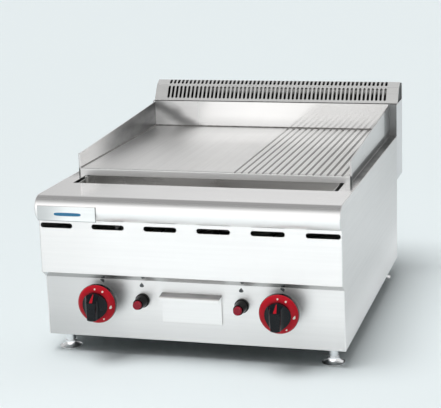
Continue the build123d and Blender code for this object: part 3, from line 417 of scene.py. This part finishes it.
def hood_look():
    """The vent hood: grey on its front facet, with painted light making its top brighter."""
    look = steel("hood_steel", (0.72, 0.72, 0.71), 0.2, "x", 0.06)
    look.tint(look.remap(look.noise(22, 4, 0.6, (0.4, 1, 1)), 0.45, 0.75, 0, 0.15), (0.34, 0.335, 0.32))
    # Painted light: the top facet made brighter.
    top = look.remap(look.axis("z"), HOOD_HIGH.z - 10.5 * MM, HOOD_HIGH.z - 9.5 * MM)
    look.tint(top, (0.92, 0.92, 0.91))
    return look.fade_metal(top, 0.6)


def deflector_look():
    """The curved deflector seen through the slots: a painted highlight across its middle, growing towards the
    right; darkened elsewhere, partly soot and partly painted shade.
    """
    look = steel("deflector_steel", (0.9, 0.9, 0.89), 0.2, "x")
    height = DEFLECTOR_HIGH.z - DEFLECTOR_LOW.z
    upper = DEFLECTOR_LOW.z + 0.72 * height
    lower = DEFLECTOR_LOW.z + 0.45 * height
    # Painted highlight: the band that stays bright, fading towards the left.
    highlight_band = look.times(
        look.band("z", lower, upper, 0.1 * height),
        look.remap(look.axis("x"), DEFLECTOR_LOW.x + 30 * MM, DEFLECTOR_LOW.x + 190 * MM, 0.1, 1.0),
    )
    # Everything outside the highlight is darkened, partly soot and partly painted shade.
    return look.tint(look.calc("SUBTRACT", 1.0, highlight_band), SOOT_AND_SHADE)


def inner_look(name, color, rough, grain="x"):
    """Sheet that the cook never polishes, with dirt in clouds."""
    look = steel(name, color, rough, grain, 0.1, 0.1)
    return look.tint(look.remap(look.noise(18, 4, 0.65), 0.4, 0.7, 0.0, 0.5), (0.20, 0.19, 0.175))


def trough_look():
    """The trough and its chute, filmed with burnt grease towards the bottom."""
    look = steel("trough_steel", (0.80, 0.795, 0.785), 0.3, "x", 0.1, 0.1)
    low = look.remap(look.axis("z"), DECK_HIGH.z - 4 * MM, DECK_HIGH.z - 34 * MM)
    film = look.remap(look.noise(24, 4, 0.6, (0.5, 1, 1)), 0.3, 0.7, 0.5, 1.0)
    look.tint(look.times(low, film, 0.28), GREASE)
    return look.tint(look.remap(look.axis("x"), -120 * MM, -240 * MM, 0, 0.2), (0.2, 0.2, 0.2))


def burner_look():
    """Blued and oxidised burner tube."""
    look = steel("burner_steel", (0.34, 0.32, 0.31), 0.42, "y", 0.15, 0.12)
    look.tint(look.remap(look.noise(12, 3, 0.6), 0.4, 0.65), (0.16, 0.15, 0.19))
    rust = look.noise(35, 4, 0.7, shift=(5, 2, 1))
    return look.tint(look.remap(rust, 0.6, 0.75, 0, 0.6), (0.30, 0.17, 0.10))


def chrome_look():
    look = steel("foot_chrome", (0.86, 0.87, 0.88), 0.08, "z", 0.02, 0.03, 0.1)
    # Painted shade on the lowest few millimetres, in patches, also made rougher.
    foot_shade = look.times(look.remap(look.axis("z"), 5 * MM, 0), look.remap(look.noise(90, 4, 0.6), 0.35, 0.65))
    look.tint(look.times(foot_shade, 0.6), (0.2, 0.19, 0.17))
    return look.roughen(foot_shade, 0.3)


def brass_look():
    look = steel("valve_brass", (0.72, 0.52, 0.25), 0.24, "y", 0.1)
    return look.tint(look.remap(look.noise(40, 4, 0.6), 0.5, 0.75, 0, 0.5), (0.35, 0.22, 0.11))


def pipe_look():
    """Grey enamelled gas pipe, chipped at the fittings."""
    look = Look("pipe_enamel", (0.20, 0.21, 0.22), 0.4, 0.0, Coat_Weight=0.2)
    look.soften(EDGE_RADIUS, 0.6, (0.45, 0.45, 0.45))
    look.tint(look.remap(look.noise(60, 4, 0.6), 0.55, 0.75, 0, 0.5), (0.32, 0.32, 0.32))
    return look.bump(look.noise(220, 3, 0.6), 0.0002, 0.3)


def badge_look():
    """The satin badge, brushed across, with a soft shading towards its left end and painted shadow along its
    right and lower edges.
    """
    look = steel("badge_alloy", (0.92, 0.91, 0.90), 0.3, "x", 0.05)
    left = look.remap(look.axis("x"), BADGE_LOW.x + 70 * MM, BADGE_LOW.x + 5 * MM, 0.0, 0.75)
    look.tint(left, (0.48, 0.48, 0.48))
    # Painted shadow along the right and lower edges.
    right_edge = look.remap(look.axis("x"), BADGE_HIGH.x - 1.6 * MM, BADGE_HIGH.x - 1 * MM)
    look.tint(right_edge, (0.30, 0.30, 0.30))
    lower_edge = look.remap(look.axis("z"), BADGE_LOW.z + 1.4 * MM, BADGE_LOW.z + 0.8 * MM)
    return look.tint(lower_edge, (0.35, 0.35, 0.35))


def red_look(name, color, sheen):
    """Red moulding, deeper in patches."""
    look = plastic(name, color, 0.3, sheen)
    deeper = tuple(0.7 * c for c in color)
    return look.tint(look.remap(look.noise(70, 3, 0.6, shift=(1, 2, 5)), 0.5, 0.8, 0.0, 0.4), deeper)


def dress(look, *names):
    """Gives a look to every material slot of some CAD nodes."""
    for name in names:
        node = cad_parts[name]
        if not node.material_slots:
            node.data.materials.append(look.mat)
        for slot in node.material_slots:
            slot.material = look.mat


inner = inner_look("inner_steel", (0.50, 0.50, 0.50), 0.4)
tray = inner_look("tray_steel", (0.68, 0.68, 0.67), 0.28, "y")
screw = steel("screw_zinc", (0.70, 0.70, 0.68), 0.3, "z")
brass = brass_look()
red = red_look("dial_red", (0.52, 0.002, 0.014), 0.2)
button_red = red_look("button_red", (0.36, 0.006, 0.025), 0.3)
black = plastic("knob_black", (0.004, 0.006, 0.009), 0.1, 0.25)
bezel = plastic("bezel_black", (0.002, 0.002, 0.002), 0.12, 0.06)
cap = plastic("cap_black", (0.005, 0.005, 0.005), 0.4, 0.1)
white = plastic("moulded_white", (0.78, 0.77, 0.72), 0.35)
print_white = plastic("print_white", (0.92, 0.84, 0.78), 0.4, 0.3)
print_grey = plastic("print_grey", (0.14, 0.15, 0.155), 0.5)
enamel_blue = plastic("enamel_blue", (0.03, 0.22, 0.42), 0.3)

dress(fascia_look(), "front_fascia")
dress(drawer_look(), "drawer_front")
dress(panel_look(), "control_panel")
dress(side_look(), "side_panel_left", "side_panel_right", "rear_panel")
dress(deck_look(), "top_deck")
dress(guard_look(), "splash_guard_left", "splash_guard_right")
dress(back_look(), "backsplash")
dress(plate_look(), "griddle_plate")
dress(duct_look(), "flue_duct")
dress(flue_panel_look(), "flue_front_panel")
dress(hood_look(), "flue_hood")
dress(deflector_look(), "flue_deflector")
dress(inner, "base_pan", "chamber_liners", "heat_shield", "burner_rests", "drawer_rails")
dress(tray, "drawer_tray")
dress(trough_look(), "grease_trough", "grease_chute")
dress(burner_look(), "burner_left", "burner_right", "pilot_burners")
dress(screw, "casing_screws", "foot_nuts", "trough_pin", "knob_stem_left", "knob_stem_right")
dress(brass, "gas_cock_left", "gas_cock_right", "cock_plug_left", "cock_plug_right")
dress(brass, "injectors", "thermocouples")
dress(pipe_look(), "gas_manifold", "gas_inlet_nipple")
dress(steel("tube_alloy", (0.72, 0.73, 0.74), 0.3, "y"), "supply_tubes")
dress(chrome_look(), *[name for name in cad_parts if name.startswith("levelling_foot")])
dress(badge_look(), "nameplate")
dress(black, "knob_left", "knob_right")
dress(bezel, "igniter_bezels")
dress(plastic("lead_rubber", (0.03, 0.03, 0.03), 0.55), "ignition_leads")
dress(red, "dial_ring_left", "dial_ring_right", "pointer_left", "pointer_right")
dress(button_red, "igniter_button_left", "igniter_button_right")
dress(cap, "flue_end_caps")
dress(white, "piezo_bodies", "spark_electrodes")


# ------------------------------------------------------------------ making a piece
def piece(name, mesh, look, body):
    """Turns a finished bmesh into a smooth object that rides on a body."""
    bmesh.ops.recalc_face_normals(mesh, faces=mesh.faces)
    data = bpy.data.meshes.new(name)
    mesh.to_mesh(data)
    mesh.free()
    data.shade_smooth()
    data.materials.append(look.mat)
    made = bpy.data.objects.new(name, data)
    bpy.context.scene.collection.objects.link(made)
    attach(made, body)
    return made


def skin(mesh, rows):
    """Joins closed rows of points into a tube with flat ends."""
    count = len(rows[0])
    for row, following in zip(rows, rows[1:]):
        for i in range(count):
            j = (i + 1) % count
            mesh.faces.new((row[i], row[j], following[j], following[i]))
    mesh.faces.new(rows[0])
    mesh.faces.new(rows[-1][::-1])


# ------------------------------------------------------------------ printed and enamelled marks
def surface_of(node):
    """A search tree over a CAD node's mesh, for laying marks on it."""
    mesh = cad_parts[node].data
    return BVHTree.FromPolygons([v.co for v in mesh.vertices], [tuple(p.vertices) for p in mesh.polygons])


def dot(radius, steps=24):
    turns = [2 * math.pi * i / steps for i in range(steps)]
    return [(radius * math.sin(t), radius * math.cos(t)) for t in turns]


def flame(width, height, lean=0.2, steps=36):
    """A drop with its tip up, leaning a little: width and height across it."""
    made = []
    for i in range(steps):
        t = 2 * math.pi * i / steps
        across = 0.65 * math.sin(t) * abs(math.sin(t / 2)) ** 1.5 + lean * math.cos(t)
        made.append((width * across, 0.5 * height * math.cos(t)))
    return made


def lozenge(width, height, power=4.0, steps=48):
    """A bar with round ends, as a superellipse."""
    made = []
    for i in range(steps):
        t = 2 * math.pi * i / steps
        across, up = (math.copysign(abs(c) ** (2 / power), c) for c in (math.sin(t), math.cos(t)))
        made.append((0.5 * width * across, 0.5 * height * up))
    return made


def mark(name, outline, at, tree, thick, body, look):
    """A crowned print on a surface that faces the cook: an outline about a point, lifted off by thick."""
    mesh = bmesh.new()
    sunk = 0.2 * MM

    def point(u, v, lift):
        hit = tree.ray_cast(Vector((at[0] + u, -1, at[1] + v)), Vector((0, 1, 0)))[0]
        return mesh.verts.new((hit.x, hit.y - lift, hit.z))

    steps = ((0.5, thick), (0.88, thick), (1, -sunk))
    rings = [[point(u * size, v * size, lift) for u, v in outline] for size, lift in steps]
    front = point(0, 0, thick)
    back = point(0, 0, -sunk)
    count = len(outline)
    for i in range(count):
        j = (i + 1) % count
        mesh.faces.new((front, rings[0][i], rings[0][j]))
        mesh.faces.new((back, rings[2][j], rings[2][i]))
        for inner_ring, outer_ring in zip(rings, rings[1:]):
            mesh.faces.new((inner_ring[i], outer_ring[i], outer_ring[j], inner_ring[j]))
    return piece(name, mesh, look, body)


PRINT = 0.12 * MM
RING_MARK_R = 31.5 * MM
# Clockwise from the top, in degrees: off, spark, full flame, low flame.
RING_MARKS = (
    ("off", 0, dot(1.9 * MM)),
    ("spark", 30, dot(2.1 * MM)),
    ("full", 94, flame(5.6 * MM, 8.0 * MM)),
    ("low", 149, flame(4.0 * MM, 5.2 * MM)),
)
panel_tree = surface_of("control_panel")
for side in ("left", "right"):
    ring_low, ring_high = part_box(f"dial_ring_{side}")
    ring_x, ring_z = (ring_low.x + ring_high.x) / 2, (ring_low.z + ring_high.z) / 2
    ring_tree = surface_of(f"dial_ring_{side}")
    for what, degrees, outline in RING_MARKS:
        turn = math.radians(degrees)
        at = (ring_x + RING_MARK_R * math.sin(turn), ring_z + RING_MARK_R * math.cos(turn))
        name, body = f"ring_mark_{what}_{side}", f"knob_{side}_body"
        mark(name, outline, at, ring_tree, PRINT, body, print_white)
    index_at = (ring_x - 0.5 * MM, ring_z + 35 * MM)
    drop = [(u, -v) for u, v in flame(9.5 * MM, 8.5 * MM, 0.2)]
    mark(f"index_mark_{side}", drop, index_at, panel_tree, PRINT, "casing", print_grey)
    button_low, button_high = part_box(f"igniter_button_{side}")
    spark_at = ((button_low.x + button_high.x) / 2 - 1.2 * MM, ring_z + 30.5 * MM)
    spark = flame(10.5 * MM, 10.0 * MM, 0.0)
    mark(f"spark_mark_{side}", spark, spark_at, panel_tree, PRINT, "casing", print_grey)

badge_middle = ((BADGE_LOW.x + BADGE_HIGH.x) / 2 + 2 * MM, (BADGE_LOW.z + BADGE_HIGH.z) / 2 - 1 * MM)
badge_tree = surface_of("nameplate")
band = lozenge(58 * MM, 7 * MM)
mark("badge_band", band, badge_middle, badge_tree, 0.3 * MM, "casing", enamel_blue)


# ------------------------------------------------------------------ fillet where the plate meets its walls
def weld_seam():
    """A concave seam round the plate, along the left guard, the backsplash and the right guard."""
    radius = 2.6 * MM
    sink = 0.15 * MM
    arc_steps = 6
    profile = [(-sink, -sink), (-sink, radius)]
    for i in range(1, arc_steps):
        turn = math.pi / 2 * i / arc_steps
        profile.append((radius * (1 - math.sin(turn)), radius * (1 - math.cos(turn))))
    profile.append((radius, -sink))
    top = PLATE_HIGH.z
    left, right, front, back = PLATE_LOW.x, PLATE_HIGH.x, PLATE_LOW.y + 4 * MM, PLATE_HIGH.y
    runs = (
        ((left, front), (left, back), (1, 0)),
        ((left, back), (right, back), (0, -1)),
        ((right, back), (right, front), (-1, 0)),
    )
    stops = []
    for index, (start, end, off) in enumerate(runs):
        count = int(math.dist(start, end) / (6 * MM))
        for i in range(count + 1):
            if i == count and index < 2:
                continue
            share = i / count
            before = runs[index - 1][2] if i == 0 and index > 0 else (0, 0)
            way = (off[0] + before[0], off[1] + before[1])
            place = (start[0] + (end[0] - start[0]) * share, start[1] + (end[1] - start[1]) * share)
            ripple = len(stops)
            stops.append((place, way, 1 + 0.08 * math.sin(1.9 * ripple) + 0.05 * math.sin(0.73 * ripple)))
    mesh = bmesh.new()
    rows = []
    for (x, y), (off_x, off_y), swell in stops:
        row = [(x + a * swell * off_x, y + a * swell * off_y, top + b * swell) for a, b in profile]
        rows.append([mesh.verts.new(point) for point in row])
    skin(mesh, rows)
    look = steel("seam_steel", (0.26, 0.255, 0.245), 0.45, "y", 0.1, 0.1)
    look.tint(look.remap(look.noise(50, 4, 0.6), 0.4, 0.7, 0, 0.6), (0.12, 0.11, 0.10))
    made = piece("plate_seam", mesh, look, "casing")
    made.data.set_sharp_from_angle(angle=math.radians(40))


weld_seam()


# ------------------------------------------------------------------ return springs
SPRING_WIRE_R = 0.4 * MM
SPRING_TURNS = 5


def return_spring(side):
    """A coil inside a gas cock, riding with the turning plug."""
    node, joint = f"cock_spring_{side}", f"knob_push_{side}"
    low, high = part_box(node)
    wire, turns = SPRING_WIRE_R, SPRING_TURNS
    radius = (high.x - low.x) / 2 - wire
    middle_x, middle_z = (low.x + high.x) / 2, (low.z + high.z) / 2
    steps, sides = 28, 8
    start, end = low.y + wire, high.y - wire
    mesh = bmesh.new()
    rows = []
    for i in range(turns * steps + 1):
        turn = 2 * math.pi * i / steps
        y = start + (end - start) * i / (turns * steps)
        row = []
        for k in range(sides):
            around = 2 * math.pi * k / sides
            out = radius + wire * math.cos(around)
            x, z = middle_x + out * math.cos(turn), middle_z + out * math.sin(turn)
            row.append(mesh.verts.new((x, y + wire * math.sin(around), z)))
        rows.append(row)
    skin(mesh, rows)
    made = piece(f"return_spring_{side}", mesh, screw, f"cock_plug_{side}_body")
    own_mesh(made)
    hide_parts(node)


for side in ("left", "right"):
    return_spring(side)

# ------------------------------------------------------------------ studio
FLOOR_HALF = 14.0


def slab(name, corners, material):
    mesh = bpy.data.meshes.new(name)
    mesh.from_pydata(corners, [], [tuple(range(len(corners)))])
    made = bpy.data.objects.new(name, mesh)
    bpy.context.scene.collection.objects.link(made)
    mesh.materials.append(material)
    return made


floor_look = Look("studio_floor", (0.80, 0.865, 0.88), 0.75, Specular_IOR_Level=0.1)
floor_look.roughen(floor_look.noise(30, 3), 0.05)
floor_corners = [(FLOOR_HALF * x, FLOOR_HALF * y, 0) for x, y in ((-1, -1), (1, -1), (1, 1), (-1, 1))]
floor = slab("studio_floor", floor_corners, floor_look.mat)

# How bright the air is in each direction.
FRONT_GLOW = 1.27
DARK_ABOVE = 0.36
BACK_GLOW = 0.80
BACK_LEFT = 0.62
BACK_RIGHT = 0.85


def studio_air():
    """What polished parts reflect: bright in front, a glowing panel low behind, dark over the top."""
    world = bpy.data.worlds.new("studio_air")
    bpy.context.scene.world = world
    world.use_nodes = True
    air = Nodes(world.node_tree)
    air.place = air.node("ShaderNodeTexCoord").outputs["Generated"]
    x, y, z = air.axis("x"), air.axis("y"), air.axis("z")
    panel = air.remap(x, -0.42, -0.25, BACK_LEFT, BACK_GLOW)
    panel = air.times(panel, air.remap(x, -0.04, 0.14, 1.0, BACK_RIGHT / BACK_GLOW))
    # Polished parts see this; what it would scatter on the rest comes from the lamps.
    world.cycles_visibility.diffuse = False
    behind = air.mix(air.remap(z, 0.52, 0.7), panel, DARK_ABOVE)
    strength = air.mix(air.remap(y, -0.42, -0.68), behind, FRONT_GLOW)
    background = air.node("ShaderNodeBackground")
    background.inputs["Color"].default_value = (1.0, 1.0, 1.0, 1)
    air.feed(background, "Strength", strength)
    out = air.node("ShaderNodeOutputWorld")
    air.tree.links.new(background.outputs[0], out.inputs["Surface"])


studio_air()


def lamp(name, kind, at, aim, energy, **settings):
    """A light that faces a point, and shows neither itself nor its reflection."""
    data = bpy.data.lights.new(name, kind)
    data.energy = energy
    for key, value in settings.items():
        setattr(data, key, value)
    made = bpy.data.objects.new(name, data)
    bpy.context.scene.collection.objects.link(made)
    made.location = at
    made.rotation_euler = (Vector(aim) - Vector(at)).to_track_quat("-Z", "Y").to_euler()
    made.visible_camera = False
    made.visible_glossy = False


KEY_AT, KEY_AIM = (-0.6, -0.55, 3.0), (0, 0, 0.2)
KEY_STRENGTH, SKY_STRENGTH, POOL_WATTS = 1.92, 1.25, 2.6
# The pool of light lies on the floor in front, where the fascia and the panel mirror it.
POOL_AT = (-0.25, FASCIA_Y - 0.92)
POOL_HEIGHT = 1.3
pool = {"shape": "RECTANGLE", "size": 2.2, "size_y": 0.7, "spread": math.radians(45)}
lamp("key_wash", "SUN", KEY_AT, KEY_AIM, KEY_STRENGTH, angle=math.radians(35))
lamp("sky_wash", "SUN", (0, 0, 3.0), (0, 0, 0), SKY_STRENGTH, angle=math.radians(110))
lamp("front_pool", "AREA", (*POOL_AT, POOL_HEIGHT), (*POOL_AT, 0), POOL_WATTS, **pool)

# ------------------------------------------------------------------ camera
FOCAL = 109.57
SHIFT = (-0.0567, -0.0907)
YAW, PITCH, ROLL = math.radians(15.07), math.radians(11.91), math.radians(-1.59)
CAMERA_AT = (0.75103, FASCIA_Y - 2.34481, 0.90968)


def photo_camera():
    data = bpy.data.cameras.new("camera")
    data.lens = FOCAL
    data.sensor_width = 36.0
    data.shift_x, data.shift_y = SHIFT
    data.clip_end = 100
    made = bpy.data.objects.new("camera", data)
    bpy.context.scene.collection.objects.link(made)
    ahead = Vector((-math.sin(YAW) * math.cos(PITCH), math.cos(YAW) * math.cos(PITCH), -math.sin(PITCH)))
    level = Vector((math.cos(YAW), math.sin(YAW), 0))
    upright = level.cross(ahead)
    right = level * math.cos(ROLL) + upright * math.sin(ROLL)
    up = upright * math.cos(ROLL) - level * math.sin(ROLL)
    axes = Matrix((right, up, -ahead)).transposed().to_4x4()
    made.matrix_world = Matrix.Translation(CAMERA_AT) @ axes
    bpy.context.scene.camera = made


photo_camera()
bpy.context.scene.view_settings.view_transform = "Standard"
